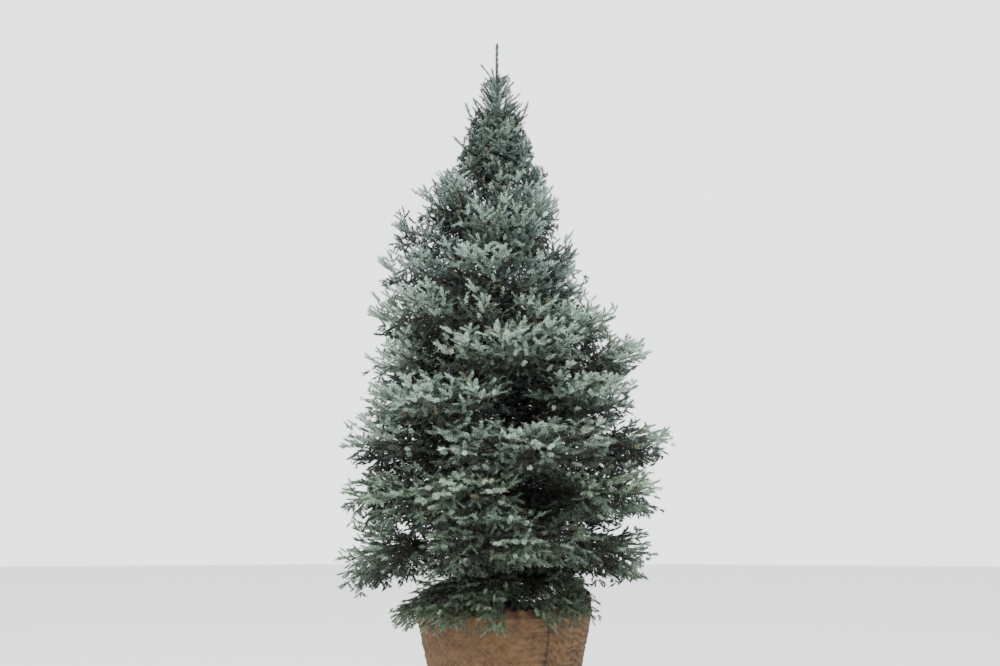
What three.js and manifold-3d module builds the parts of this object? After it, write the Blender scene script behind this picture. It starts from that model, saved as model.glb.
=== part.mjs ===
// A balled-and-burlapped blue spruce, about 6 m tall: a root ball wrapped in burlap, a leaning trunk,
// whorls of boughs, and masses of needle sprays that grow on from the boughs and the trunk.
// Millimetres, +Z up. The origin is the centre of the flat underside of the root ball.
// The front is -Y, the right side is +X. A bearing is in degrees from the front towards the right.
import * as THREE from "three";
import { mergeVertices } from "three/addons/utils/BufferGeometryUtils.js";
import Module from "manifold-3d";

const wasm = await Module();
wasm.setup();

// Root ball: a tapered drum of soil in burlap, with a raised collar of gathered burlap round its dished top
const soilHeight = 900;
const rimRadius = 705;
const footRadius = 470;
const ballTaper = 0.8; // 1 is a straight wall, less is a rounder one
const ballColumns = 26;
const collarFront = 22; // how far the collar stands above the soil at the front
const collarBack = 60;
const collarCorner = 205; // and where a corner of it stands up
const cornerBearing = 112;
const cornerWidth = 32; // in degrees either side
const collarThickness = 55;
const soilDiscRadius = 230; // flat soil round the trunk
const lumpDepth = 14; // the wrapped soil bulges in and out by this much

// Trunk: from the soil to the tip of the leader
const treeHeight = 5080; // above the soil
const leaderHeight = 4680; // where the leader shoot starts
const trunkFootX = 20; // where the trunk stands, measured from the middle of the ball
const trunkLean = -82; // and its tip ends this far left of its foot
const trunkSway = 16;
const flareRadius = 118;
const flareHeight = 260;
const breastRadius = 74; // above the flare
const leaderFootRadius = 11;
const leaderTipRadius = 5;
const trunkSides = 10;
const seat = 0.3; // clearance between pieces that carry one another

// Whorls, from the lowest. A bough leaves the trunk at height "leaves" above the soil, and at radius r metres
// it has come to leaves + rise * r + bend * r * r. Its tip is at "left" or "right" from the trunk's axis, or in
// between. "first" is the bearing of its front bough, and "lift" what each tip is raised by, clockwise from it.
const whorls = [
  { leaves: 230, rise: 0.55, bend: -1, left: 930, right: 800, first: -48, lift: [0, 20, 130] },
  { leaves: 500, rise: 0.22, bend: -0.2, left: 1430, right: 1240, first: 4, lift: [130, 0, 0, 20] },
  { leaves: 850, rise: 0.22, bend: -0.14, left: 1425, right: 1300, first: -27, lift: [0, 60, 0, 60] },
  { leaves: 1150, rise: 0.25, bend: -0.08, left: 1410, right: 1460, first: 8, lift: [-90, 110, 0, 10] },
  { leaves: 1440, rise: 0.32, bend: -0.06, left: 1300, right: 1190, first: -36, lift: [-90, 60, 0, 0] },
  { leaves: 1740, rise: 0.36, bend: -0.05, left: 1190, right: 1290, first: 3, lift: [0, 50, 0, 0] },
  { leaves: 2040, rise: 0.43, bend: -0.03, left: 1240, right: 1040, first: -42, lift: [0, -40, 0, 0] },
  { leaves: 2370, rise: 0.5, bend: 0, left: 1110, right: 790, first: -10, lift: [0, 0, 0] },
  { leaves: 2700, rise: 0.6, bend: 0, left: 980, right: 750, first: -10, lift: [0, 0, 0] },
  { leaves: 3030, rise: 0.75, bend: 0, left: 770, right: 570, first: 45, lift: [0, 0, 0] },
  { leaves: 3370, rise: 0.95, bend: 0, left: 580, right: 500, first: 45, lift: [0, 0, 0] },
  { leaves: 3720, rise: 1.2, bend: 0, left: 430, right: 340, first: -15, lift: [0, 0, 0] },
  { leaves: 4080, rise: 1.5, bend: 0, left: 320, right: 300, first: -15, lift: [0, 0, 0] },
  { leaves: leaderHeight, rise: 0.9, bend: 0, left: 175, right: 120, first: 80, lift: [0, 0] },
];

// Tiers of foliage. A tier takes one whorl or two and is cut into sectors, with one mass in each. A mass has
// "arms" stems over "fan" degrees either side, with "sprays" blades of length "spray" on each. Where
// "limbShare" of the reach is bare limb the mass starts at a bough's tip, or else at the trunk.
const tiers = [
  { whorls: [0], sectors: 3, limbShare: 0, arms: 4, fan: 44, sprays: 2, spray: 320 },
  { whorls: [1], sectors: 4, limbShare: 0.38, arms: 3, fan: 31, sprays: 4, spray: 440 },
  { whorls: [2], sectors: 4, limbShare: 0.38, arms: 3, fan: 31, sprays: 4, spray: 440 },
  { whorls: [3], sectors: 4, limbShare: 0.38, arms: 3, fan: 31, sprays: 4, spray: 440 },
  { whorls: [4], sectors: 4, limbShare: 0.38, arms: 3, fan: 31, sprays: 4, spray: 430 },
  { whorls: [5], sectors: 4, limbShare: 0.38, arms: 3, fan: 31, sprays: 4, spray: 420 },
  { whorls: [6], sectors: 4, limbShare: 0, arms: 3, fan: 31, sprays: 4, spray: 410 },
  { whorls: [7, 8], sectors: 3, limbShare: 0, arms: 3, fan: 42, sprays: 2, spray: 390 },
  { whorls: [9, 10], sectors: 3, limbShare: 0, arms: 3, fan: 42, sprays: 1, spray: 320 },
  { whorls: [11, 12], sectors: 3, limbShare: 0, arms: 2, fan: 30, sprays: 2, spray: 240 },
  { whorls: [13], sectors: 2, limbShare: 0, arms: 2, fan: 38, sprays: 0, spray: 95 },
];
const sectorNames = {
  2: ["right", "left"],
  3: ["front", "right", "left"],
  4: ["front", "right", "back", "left"],
};
const boughFootRadius = 26;
const boughTipRadius = 15;
const stemFootRadius = 12;
const stemTipRadius = 5;
const stemLift = 95; // side stems end up to this much above or below their whorl
const spaceGap = 16; // between neighbouring spaces
const trunkGap = 24; // sprays keep this far from the bark
const ballGap = 22;
const sprayWidth = 0.5; // of its length
const sprayThickness = 0.05;
const sprayAngle = 44; // between a stem and its side sprays
const sprayLift = 0.5; // and they rise or fall by up to this much of their length
const sprayRoll = [28, 78]; // a spray is turned about its own line by between these
const sprayRoom = 0.24; // sprays and stems of a mass keep apart by this share of a spray's length

const barkMaterial = new THREE.MeshStandardMaterial({ color: 0x4a3c33, roughness: 0.95, metalness: 0 });
const needleMaterial = new THREE.MeshStandardMaterial({ color: 0x6f8a86, roughness: 0.8, metalness: 0 });
const burlapMaterial = new THREE.MeshStandardMaterial({ color: 0x9a7a5c, roughness: 0.95, metalness: 0 });

const spruce = new THREE.Group();

// A repeatable number from 0 to 1 for any list of whole numbers
function chance(...keys) {
  let hash = 2166136261;
  for (const key of keys) hash = Math.imul(hash ^ key, 16777619) >>> 0;
  hash = Math.imul(hash ^ (hash >>> 16), 0x7feb352d) >>> 0;
  hash = Math.imul(hash ^ (hash >>> 15), 0x846ca68b) >>> 0;
  return ((hash ^ (hash >>> 16)) >>> 0) / 4294967296;
}

function spread(low, high, ...keys) {
  return low + (high - low) * chance(...keys);
}

function trunkAxis(height) {
  const share = height / treeHeight;
  const x = trunkFootX + trunkLean * share + trunkSway * Math.sin(2 * Math.PI * share);
  return new THREE.Vector3(x, trunkSway * Math.sin(Math.PI * share), soilHeight + height);
}

function trunkRadius(height) {
  const flare = (flareRadius - breastRadius) * Math.pow(Math.max(0, 1 - height / flareHeight), 2);
  if (height >= leaderHeight) {
    const share = (height - leaderHeight) / (treeHeight - leaderHeight);
    return THREE.MathUtils.lerp(leaderFootRadius, leaderTipRadius, share);
  }
  return flare + THREE.MathUtils.lerp(breastRadius, leaderFootRadius, height / leaderHeight);
}

function bearingVector(bearing) {
  const angle = THREE.MathUtils.degToRad(bearing);
  return new THREE.Vector3(Math.sin(angle), -Math.cos(angle), 0);
}

// The crown reaches further on the left than on the right; front and back are between the two
function reachOf(whorl, bearing) {
  const side = Math.sin(THREE.MathUtils.degToRad(bearing));
  return THREE.MathUtils.lerp(whorl.left, whorl.right, (1 + side) / 2);
}

function whorlHeight(whorl, radius) {
  const metres = radius / 1000;
  return whorl.leaves + 1000 * (whorl.rise * metres + whorl.bend * metres * metres);
}

// Height of the surface half way between two neighbouring whorls, which parts their foliage
function partingHeight(lower, radius) {
  if (lower < 0) return -Infinity;
  if (lower + 1 >= whorls.length) return Infinity;
  return (whorlHeight(whorls[lower], radius) + whorlHeight(whorls[lower + 1], radius)) / 2;
}

// A point on the line of a bough, at a bearing and a radius from the trunk's axis
function boughPoint(whorl, bearing, radius) {
  const sectors = whorl.lift.length;
  const sector = Math.round((((bearing - whorl.first + 720) % 360) / 360) * sectors) % sectors;
  const lift = whorl.lift[sector] * Math.pow(radius / reachOf(whorl, bearing), 1.5);
  const height = whorlHeight(whorl, radius) + lift;
  return bearingVector(bearing).multiplyScalar(radius).add(trunkAxis(height));
}

// A point's height above the soil, its radius from the trunk's axis and its bearing
function crownPlace(point) {
  const height = point.z - soilHeight;
  const axis = trunkAxis(THREE.MathUtils.clamp(height, 0, treeHeight));
  const x = point.x - axis.x;
  const y = point.y - axis.y;
  return { height, radius: Math.hypot(x, y), bearing: THREE.MathUtils.radToDeg(Math.atan2(x, -y)) };
}

function collarHeight(bearing) {
  const behind = (1 - Math.cos(THREE.MathUtils.degToRad(bearing))) / 2;
  const low = THREE.MathUtils.lerp(collarFront, collarBack, behind);
  const off = (((bearing - cornerBearing + 540) % 360) - 180) / cornerWidth;
  return THREE.MathUtils.lerp(low, collarCorner, Math.exp(-Math.pow(Math.abs(off), 3)));
}

// How far the burlap surface is from the ball's axis at a height above the floor
function ballRadius(height) {
  const share = THREE.MathUtils.clamp(height / soilHeight, 0, 1);
  return footRadius + (rimRadius - footRadius) * Math.pow(share, ballTaper);
}

function collarTop(point) {
  return soilHeight + collarHeight(THREE.MathUtils.radToDeg(Math.atan2(point.x, -point.y)));
}

function clearOfBall(point) {
  if (point.z > collarTop(point) + ballGap) return true;
  return Math.hypot(point.x, point.y) > rimRadius + lumpDepth + ballGap;
}

function solidOf(geometry) {
  const bare = new THREE.BufferGeometry();
  const source = geometry.index ? geometry.toNonIndexed() : geometry;
  bare.setAttribute("position", source.getAttribute("position").clone());
  const merged = mergeVertices(bare, 1e-3);
  const mesh = new wasm.Mesh({
    numProp: 3,
    vertProperties: new Float32Array(merged.attributes.position.array),
    triVerts: new Uint32Array(merged.index.array),
  });
  const solid = new wasm.Manifold(mesh);
  if (solid.volume() < 0) throw new Error("a shape is inside out");
  return solid;
}

function geometryOf(solid) {
  const mesh = solid.getMesh();
  const points = new Float32Array(mesh.numVert * 3);
  for (let i = 0; i < mesh.numVert; i++)
    points.set(mesh.vertProperties.subarray(i * mesh.numProp, i * mesh.numProp + 3), i * 3);
  const geometry = new THREE.BufferGeometry();
  geometry.setAttribute("position", new THREE.BufferAttribute(points, 3));
  geometry.setIndex(new THREE.BufferAttribute(new Uint32Array(mesh.triVerts), 1));
  return geometry;
}

function addNode(name, geometry, material) {
  const mesh = new THREE.Mesh(geometry, material);
  mesh.name = name;
  spruce.add(mesh);
}

// A round limb with flat ends along a line of points, with its own radius at each of them. Its rings are
// square to the line, or to "facing", where that is given, for the first one.
function limb(points, radii, sides, facing = null) {
  const rings = points.length - 1;
  const geometry = new THREE.CylinderGeometry(1, 1, 1, sides, rings);
  geometry.rotateX(Math.PI / 2);
  const position = geometry.attributes.position;
  const up = new THREE.Vector3(0, 0, 1);
  const frames = points.map((point, i) => {
    const along = points[Math.min(rings, i + 1)].clone().sub(points[Math.max(0, i - 1)]).normalize();
    if (i === 0 && facing) along.copy(facing);
    const side = new THREE.Vector3(1, 0, 0);
    if (Math.abs(along.z) < 0.97) side.crossVectors(up, along).normalize();
    const top = new THREE.Vector3().crossVectors(along, side).normalize();
    side.crossVectors(top, along).normalize();
    return { side, top };
  });
  for (let i = 0; i < position.count; i++) {
    const ring = Math.round((position.getZ(i) + 0.5) * rings);
    const { side, top } = frames[ring];
    const place = points[ring].clone();
    place.addScaledVector(side, position.getX(i) * radii[ring]);
    place.addScaledVector(top, position.getY(i) * radii[ring]);
    position.setXYZ(i, place.x, place.y, place.z);
  }
  return geometry;
}

// One side of a spray's outline, in shares of its length and width, from its root to its tip
const sprayTeeth = [
  [0, 0],
  [0.52, 0.5],
  [0.56, 0.2],
  [1, 0],
];
const sprayMiddle = 0.45;
const otherSide = sprayTeeth.slice(1, -1).reverse();
const sprayOutline = [...sprayTeeth.map(([forward, across]) => [forward, -across]), ...otherSide];

// A toothed blade that stands for a spray: a flat double fan round its middle
function spray(root, along, top, length) {
  const columns = sprayOutline.length;
  const geometry = new THREE.SphereGeometry(1, columns, 2);
  const position = geometry.attributes.position;
  const side = new THREE.Vector3().crossVectors(top, along).normalize();
  const face = new THREE.Vector3().crossVectors(along, side).normalize();
  for (let i = 0; i < position.count; i++) {
    const row = Math.floor(i / (columns + 1));
    const [forward, across] = row === 1 ? sprayOutline[(i % (columns + 1)) % columns] : [sprayMiddle, 0];
    const place = root.clone().addScaledVector(along, forward * length);
    place.addScaledVector(side, across * length * sprayWidth);
    place.addScaledVector(face, ((1 - row) * length * sprayThickness) / 2);
    position.setXYZ(i, place.x, place.y, place.z);
  }
  return geometry;
}

function spraySamples(root, along, top, length) {
  const side = new THREE.Vector3().crossVectors(top, along).normalize();
  const samples = [];
  for (const [forward, across] of sprayOutline)
    for (const inwards of [1, 0.5]) {
      const place = root.clone().addScaledVector(along, forward * length);
      samples.push(place.addScaledVector(side, across * inwards * length * sprayWidth));
    }
  return samples;
}

function makeRootBall() {
  const soilEdge = rimRadius - collarThickness;
  const profile = [
    [0, 0],
    [footRadius - 40, 0],
    [footRadius, 45],
    [ballRadius(250), 250],
    [ballRadius(590), 590],
    [rimRadius, soilHeight],
    [rimRadius - 4, soilHeight + 1], // rises with the collar
    [soilEdge, soilHeight + 2], // rises with the collar
    [soilEdge - 30, soilHeight + 3], // rises half way
    [soilDiscRadius + 120, soilHeight + 6],
    [soilDiscRadius, soilHeight],
    [0, soilHeight],
  ];
  const collarRise = { 1: 1, 2: 0.94, 3: 0.35 };
  const points = profile.map(([radius, height]) => new THREE.Vector2(radius, height));
  const geometry = new THREE.LatheGeometry(points, ballColumns);
  geometry.rotateX(Math.PI / 2);
  const position = geometry.attributes.position;
  for (let i = 0; i < position.count; i++) {
    const [x, y, z] = [position.getX(i), position.getY(i), position.getZ(i)];
    const bearing = Math.atan2(x, -y);
    const radius = Math.hypot(x, y);
    const side = Math.sin((Math.PI * Math.min(z, soilHeight)) / soilHeight);
    const lump = side * (Math.sin(3 * bearing + 1) + Math.sin(7 * bearing + z / 160)) * 0.5 * lumpDepth;
    const scale = radius > soilDiscRadius + 130 ? (radius + lump) / radius : 1;
    const rise = collarRise[Math.round(z - soilHeight)] ?? 0;
    const lift = rise * collarHeight(THREE.MathUtils.radToDeg(bearing));
    position.setXYZ(i, x * scale, y * scale, z + lift);
  }
  addNode("root_ball", geometryOf(solidOf(geometry)), burlapMaterial);
}

// The trunk's rings are level, so its foot is a flat cut
function trunkSolid(growth) {
  const heights = [0, 80, 170, flareHeight, 1000, 1800, 2600, 3400, 4100, leaderHeight, treeHeight];
  const sides = new THREE.CylinderGeometry(1, 1, 1, trunkSides, heights.length - 1);
  sides.rotateX(Math.PI / 2);
  const position = sides.attributes.position;
  for (let i = 0; i < position.count; i++) {
    const height = heights[Math.round((position.getZ(i) + 0.5) * (heights.length - 1))];
    const radius = trunkRadius(height) + growth / Math.cos(Math.PI / trunkSides);
    const place = trunkAxis(height);
    if (height === 0) place.z += seat - growth;
    if (height === treeHeight) place.z += growth;
    position.setXYZ(i, place.x + position.getX(i) * radius, place.y + position.getY(i) * radius, place.z);
  }
  return solidOf(sides);
}

// The test of a mass's own space: its sector, its tier, and clear of the trunk and the ball
function spaceOf(tier, bearing) {
  const halfSector = 180 / tier.sectors;
  const lowest = tier.whorls[0];
  const highest = tier.whorls[tier.whorls.length - 1];
  const slantGap = spaceGap * Math.hypot(1, whorls[highest].rise);
  return (point) => {
    const place = crownPlace(point);
    const off = ((place.bearing - bearing + 540) % 360) - 180;
    const gapAngle = THREE.MathUtils.radToDeg(Math.atan2(spaceGap, place.radius));
    const height = THREE.MathUtils.clamp(place.height, 0, treeHeight);
    if (Math.abs(off) > halfSector - gapAngle) return false;
    if (place.height < partingHeight(lowest - 1, place.radius) + slantGap) return false;
    if (place.height > partingHeight(highest, place.radius) - slantGap) return false;
    if (place.height > treeHeight) return false;
    return place.radius > trunkRadius(height) + trunkGap && clearOfBall(point);
  };
}

// Nearest distance from some points to some stretches of stem or spray
function roomBetween(points, laid) {
  let least = Infinity;
  const nearest = new THREE.Vector3();
  for (const stretch of laid)
    for (const point of points)
      least = Math.min(least, stretch.closestPointToPoint(point, true, nearest).distanceTo(point));
  return least;
}

// A spray is tried at its full size and then smaller, and left out where none of them keeps to the space
function addSpray(mass, own, root, along, length, roll) {
  const top = new THREE.Vector3(0, 0, 1);
  if (Math.abs(along.z) > 0.9) top.set(1, 0, 0);
  top.applyAxisAngle(along, THREE.MathUtils.degToRad(roll));
  for (const share of [1, 0.8, 0.62]) {
    const size = length * share;
    if (!spraySamples(root, along, top, size).every(mass.inSpace)) continue;
    const points = [0.4, 0.7, 1].map((step) => root.clone().addScaledVector(along, step * size));
    const others = mass.laid.filter((stretch) => !own.includes(stretch));
    if (roomBetween(points, others) < sprayRoom * size) continue;
    mass.solids.push(solidOf(spray(root, along, top, size)));
    mass.laid.push(new THREE.Line3(root.clone().lerp(points[2], 0.25), points[2]));
    return;
  }
}

// The point at a share of a line of evenly spaced points, and the direction there
function alongLine(line, share) {
  const at = share * (line.length - 1);
  const i = Math.min(line.length - 2, Math.floor(at));
  const along = line[i + 1].clone().sub(line[i]).normalize();
  return { point: line[i].clone().lerp(line[i + 1], at - i), along };
}

function lengthOf(line) {
  return line.slice(1).reduce((sum, point, i) => sum + point.distanceTo(line[i]), 0);
}

// A stem's sprays, left and right of it and one that ends at its tip
function dressArm(mass, arm, tier) {
  const rollOf = (i) => (i % 2 === 0 ? 1 : -1) * spread(...sprayRoll, arm.seed, i, 5);
  const end = alongLine(arm.line, 0.97).point;
  const ahead = arm.tip.clone().sub(end);
  addSpray(mass, arm.own, end, ahead.clone().normalize(), ahead.length(), rollOf(arm.seed));
  for (let i = 0; i < tier.sprays; i++) {
    const share = 0.06 + (0.84 * (i + spread(0.2, 0.8, arm.seed, i, 1))) / tier.sprays;
    const { point, along } = alongLine(arm.line, share);
    const across = new THREE.Vector3(0, 0, 1).cross(along).normalize();
    const angle = THREE.MathUtils.degToRad(spread(sprayAngle - 8, sprayAngle + 8, arm.seed, i, 2));
    const hand = (i + arm.seed) % 2 === 0 ? 1 : -1;
    const out = along.clone().multiplyScalar(Math.cos(angle));
    out.addScaledVector(across, hand * Math.sin(angle));
    out.z += spread(-sprayLift, sprayLift, arm.seed, i, 3);
    const length = tier.spray * spread(0.85, 1, arm.seed, i, 4);
    addSpray(mass, arm.own, point, out.normalize(), length, rollOf(i));
  }
}

// A bough starts inside the trunk, which it is then cut clear of, and ends where its mass begins
function boughLine(tier, bearing) {
  const whorl = whorls[tier.whorls[0]];
  const from = trunkRadius(whorl.leaves) * 0.6;
  const to = tier.limbShare * reachOf(whorl, bearing);
  return [0, 0.5, 1].map((share) => boughPoint(whorl, bearing, THREE.MathUtils.lerp(from, to, share)));
}

function boughEnd(tier, bearing) {
  const line = boughLine(tier, bearing);
  const along = line[2].clone().sub(line[1]).normalize();
  return { along, beyond: line[2].clone().addScaledVector(along, seat) };
}

// A stem on its way to a tip, which it leaves to the last spray. The first whorl's stems follow its surface.
function stemLine(start, tip, steps, spray, surface) {
  const last = Math.max(0.25, 1 - (0.86 * spray) / start.distanceTo(tip));
  const line = [start];
  for (let i = 1; i <= steps; i++) {
    const point = start.clone().lerp(tip, (last * i) / steps);
    const place = crownPlace(point);
    if (surface) point.z = boughPoint(surface, place.bearing, place.radius).z;
    if (!clearOfBall(point)) point.z = collarTop(point) + ballGap + stemFootRadius;
    line.push(point);
  }
  return line;
}

// The stems of one mass: they fork near its root and spread over its sector and its whorls
function stemsOf(tier, turn, seed, inSpace) {
  const stems = [];
  const low = whorls[tier.whorls[0]];
  const foot = trunkRadius(low.leaves) * 0.75;
  const steps = tier.whorls[0] === 0 ? 4 : 2;
  const middle = Math.floor(tier.arms / 2);
  const order = [middle, ...[...Array(tier.arms).keys()].filter((arm) => arm !== middle)];
  let start = tier.limbShare > 0 ? boughEnd(tier, turn).beyond : boughPoint(low, turn, foot);
  tier.whorls.forEach((index, level) => {
    const whorl = whorls[index];
    let leader = null;
    order.forEach((arm, rank) => {
      const key = seed + 10 * level + arm;
      const off = -tier.fan + (2 * tier.fan * arm) / (tier.arms - 1);
      const bearing = turn + off + spread(-4, 4, key, 20);
      const tip = boughPoint(whorl, bearing, reachOf(whorl, bearing) * spread(0.93, 1, key, 21));
      const lifted = tip.clone();
      if (rank > 0) lifted.z += stemLift * spread(0.4, 1, key, 22) * (rank % 2 === 0 ? 1 : -1);
      if (inSpace(lifted)) tip.copy(lifted);
      const line = stemLine(start, tip, steps, tier.spray, level === 0 ? whorl : null);
      leader = leader ?? line;
      const fork = level === 0 ? (0.1 * tier.spray * (rank + 1)) / lengthOf(leader) : 0.3 + 0.12 * rank;
      start = alongLine(leader, fork).point;
      stems.push({ line, tip, main: leader === line && level === 0, seed: key });
    });
    start = alongLine(stems[0].line, 0.16).point;
  });
  return stems;
}

function makeFoliage(tierIndex, sector) {
  const tier = tiers[tierIndex];
  const turn = whorls[tier.whorls[0]].first + (360 * sector) / tier.sectors;
  const mass = { solids: [], laid: [], inSpace: spaceOf(tier, turn) };
  const stems = stemsOf(tier, turn, 1000 * tierIndex + 100 * sector, mass.inSpace);
  const onBough = tier.limbShare > 0;
  const facing = onBough ? boughEnd(tier, turn).along : null;
  const bark = trunkRadius(whorls[tier.whorls[0]].leaves);
  for (const stem of stems) {
    const foot = Math.min(bark * 0.6, stem.main ? stemFootRadius : stemFootRadius * 0.7);
    const steps = stem.line.length - 1;
    const radii = stem.line.map((_, i) => THREE.MathUtils.lerp(foot, stemTipRadius, i / steps));
    mass.solids.push(solidOf(limb(stem.line, radii, 3, stem.main ? facing : null)));
    stem.own = stem.line.slice(1).map((point, i) => new THREE.Line3(stem.line[i], point));
    mass.laid.push(...stem.own);
  }
  for (const stem of stems) dressArm(mass, stem, tier);
  const fused = wasm.Manifold.union(mass.solids).simplify(0.3);
  const whole = onBough ? fused : fused.subtract(trunkSolid(seat));
  const name = `foliage_${tierIndex + 1}_${sectorNames[tier.sectors][sector]}`;
  addNode(name, geometryOf(whole), needleMaterial);
}

function makeBough(tierIndex, sector) {
  const tier = tiers[tierIndex];
  const bearing = whorls[tier.whorls[0]].first + (360 * sector) / tier.sectors;
  const line = boughLine(tier, bearing);
  const radii = line.map((_, i) => THREE.MathUtils.lerp(boughFootRadius, boughTipRadius, i / 2));
  const whole = solidOf(limb(line, radii, 5)).subtract(trunkSolid(seat));
  addNode(`bough_${tierIndex + 1}_${sectorNames[tier.sectors][sector]}`, geometryOf(whole), barkMaterial);
}

makeRootBall();
addNode("trunk", geometryOf(trunkSolid(0)), barkMaterial);
tiers.forEach((tier, tierIndex) => {
  for (let sector = 0; sector < tier.sectors; sector++) {
    if (tier.limbShare > 0) makeBough(tierIndex, sector);
    makeFoliage(tierIndex, sector);
  }
});

export default spruce;
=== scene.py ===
# A balled-and-burlapped blue spruce: root ball in burlap and wire mesh, bark, twigs and needles.
# The frame is in metres, +Z up, the front is -Y and the right +X. The growing rule counts in millimetres.
import math

import bpy
import numpy as np
from mathutils import Matrix, Vector, noise


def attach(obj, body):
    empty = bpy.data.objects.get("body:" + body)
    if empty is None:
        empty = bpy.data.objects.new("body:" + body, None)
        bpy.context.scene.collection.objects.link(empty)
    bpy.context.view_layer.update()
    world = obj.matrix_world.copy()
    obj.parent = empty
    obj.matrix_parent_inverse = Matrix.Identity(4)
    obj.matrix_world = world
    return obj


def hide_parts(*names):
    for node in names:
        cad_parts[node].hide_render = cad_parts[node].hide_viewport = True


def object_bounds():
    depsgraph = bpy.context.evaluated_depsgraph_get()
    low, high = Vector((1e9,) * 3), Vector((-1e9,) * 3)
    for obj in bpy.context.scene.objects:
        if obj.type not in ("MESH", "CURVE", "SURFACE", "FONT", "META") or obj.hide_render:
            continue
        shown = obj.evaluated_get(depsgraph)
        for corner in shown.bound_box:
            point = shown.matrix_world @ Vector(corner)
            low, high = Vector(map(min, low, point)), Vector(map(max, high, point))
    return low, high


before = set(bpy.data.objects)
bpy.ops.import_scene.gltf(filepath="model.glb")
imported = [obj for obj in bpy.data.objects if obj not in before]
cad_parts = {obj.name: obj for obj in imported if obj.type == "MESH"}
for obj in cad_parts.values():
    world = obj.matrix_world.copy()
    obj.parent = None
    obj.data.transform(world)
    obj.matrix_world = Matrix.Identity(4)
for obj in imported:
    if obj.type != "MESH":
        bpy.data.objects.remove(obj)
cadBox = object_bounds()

ball = {
    "soilHeight": 900,
    "rimRadius": 705,
    "footRadius": 470,
    "taper": 0.8,  # 1 is a straight wall, less is a rounder one
    "collarFront": 22,
    "collarBack": 60,
    "collarCorner": 205,
    "cornerBearing": 112,
    "cornerWidth": 32,
    "soilDisc": 300,  # radius of the bare soil round the trunk
    "lumpDepth": 14,
    "gap": 22,
}

trunk = {
    "height": 5080,  # above the soil
    "leader": 4680,
    "footX": 20,
    "lean": -82,
    "sway": 16,
    "flareRadius": 118,
    "flareHeight": 260,
    "breastRadius": 74,
    "leaderFoot": 11,
    "leaderTip": 5,
    "gap": 24,
    "seat": 0.3,
}

# Whorls from the lowest: height where they leave the trunk, rise and bend per metre, reach left and right,
# bearing of the front bough, and what each tip is raised by
whorls = [
    (230, 0.55, -1, 930, 800, -48, (0, 20, 130)),
    (500, 0.22, -0.2, 1430, 1240, 4, (130, 0, 0, 20)),
    (850, 0.22, -0.14, 1425, 1300, -27, (0, 60, 0, 60)),
    (1150, 0.25, -0.08, 1410, 1460, 8, (-90, 110, 0, 10)),
    (1440, 0.32, -0.06, 1300, 1190, -36, (-90, 60, 0, 0)),
    (1740, 0.36, -0.05, 1190, 1290, 3, (0, 50, 0, 0)),
    (2040, 0.43, -0.03, 1240, 1040, -42, (0, -40, 0, 0)),
    (2370, 0.5, 0, 1110, 790, -10, (0, 0, 0)),
    (2700, 0.6, 0, 980, 750, -10, (0, 0, 0)),
    (3030, 0.75, 0, 770, 570, 45, (0, 0, 0)),
    (3370, 0.95, 0, 580, 500, 45, (0, 0, 0)),
    (3720, 1.2, 0, 430, 340, -15, (0, 0, 0)),
    (4080, 1.5, 0, 320, 300, -15, (0, 0, 0)),
    (4680, 0.9, 0, 175, 120, 80, (0, 0)),
]
whorlNames = ("leaves", "rise", "bend", "left", "right", "first", "lift")
whorls = [dict(zip(whorlNames, row)) for row in whorls]

# Tiers: whorls, sectors, the share of bare limb, stems to a whorl, the angle they fan over, blade length
tiers = [
    ([0], 3, 0, 4, 44, 320),
    ([1], 4, 0.38, 3, 31, 440),
    ([2], 4, 0.38, 3, 31, 440),
    ([3], 4, 0.38, 3, 31, 440),
    ([4], 4, 0.38, 3, 31, 430),
    ([5], 4, 0.38, 3, 31, 420),
    ([6], 4, 0, 3, 31, 410),
    ([7, 8], 3, 0, 3, 42, 390),
    ([9, 10], 3, 0, 3, 42, 320),
    ([11, 12], 3, 0, 2, 30, 240),
    ([13], 2, 0, 2, 38, 95),
]
tierNames = ("whorls", "sectors", "limbShare", "arms", "fan", "spray")
tiers = [dict(zip(tierNames, row)) for row in tiers]
sectorNames = {2: ("right", "left"), 3: ("front", "right", "left"), 4: ("front", "right", "back", "left")}

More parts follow.
